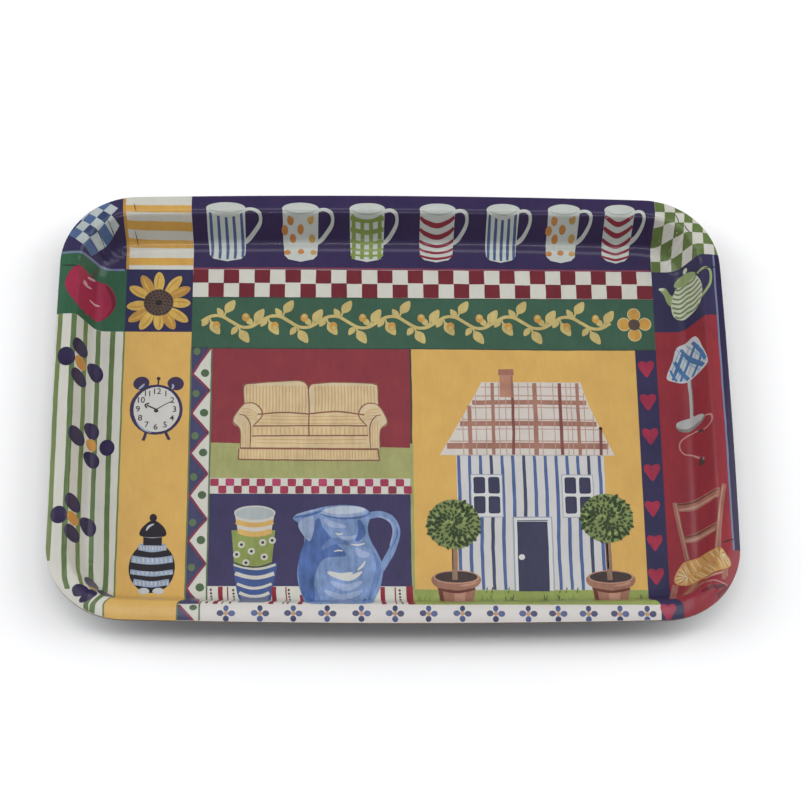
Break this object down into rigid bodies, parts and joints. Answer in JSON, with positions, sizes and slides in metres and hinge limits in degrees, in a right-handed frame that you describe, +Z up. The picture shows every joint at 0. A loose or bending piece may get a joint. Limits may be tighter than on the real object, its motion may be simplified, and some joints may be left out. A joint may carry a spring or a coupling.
{
  "type": "serving tray",
  "caption": "Large shallow rectangular serving tray with rounded corners and a turned-out lip, pressed from laminated sheets, printed on top.",
  "frame": {"origin": "middle of the tray, on the plane it stands on", "axes": "+X along the long side, +Z up, out of the well"},
  "size_m": [0.44, 0.306, 0.0277],
  "materials": {
    "clear_film": "clear gloss",
    "printed_paper": "printed",
    "core_paper": "resin soaked",
    "back_paper": "satin"
  },
  "bodies": {
    "root": {"overlay_film": "clear_film", "printed_sheet": "printed_paper", "core_sheet_1": "core_paper", "core_sheet_2": "core_paper", "core_sheet_3": "core_paper", "core_sheet_4": "core_paper", "core_sheet_5": "core_paper", "backing_sheet": "back_paper"}
  },
  "joints": []
}
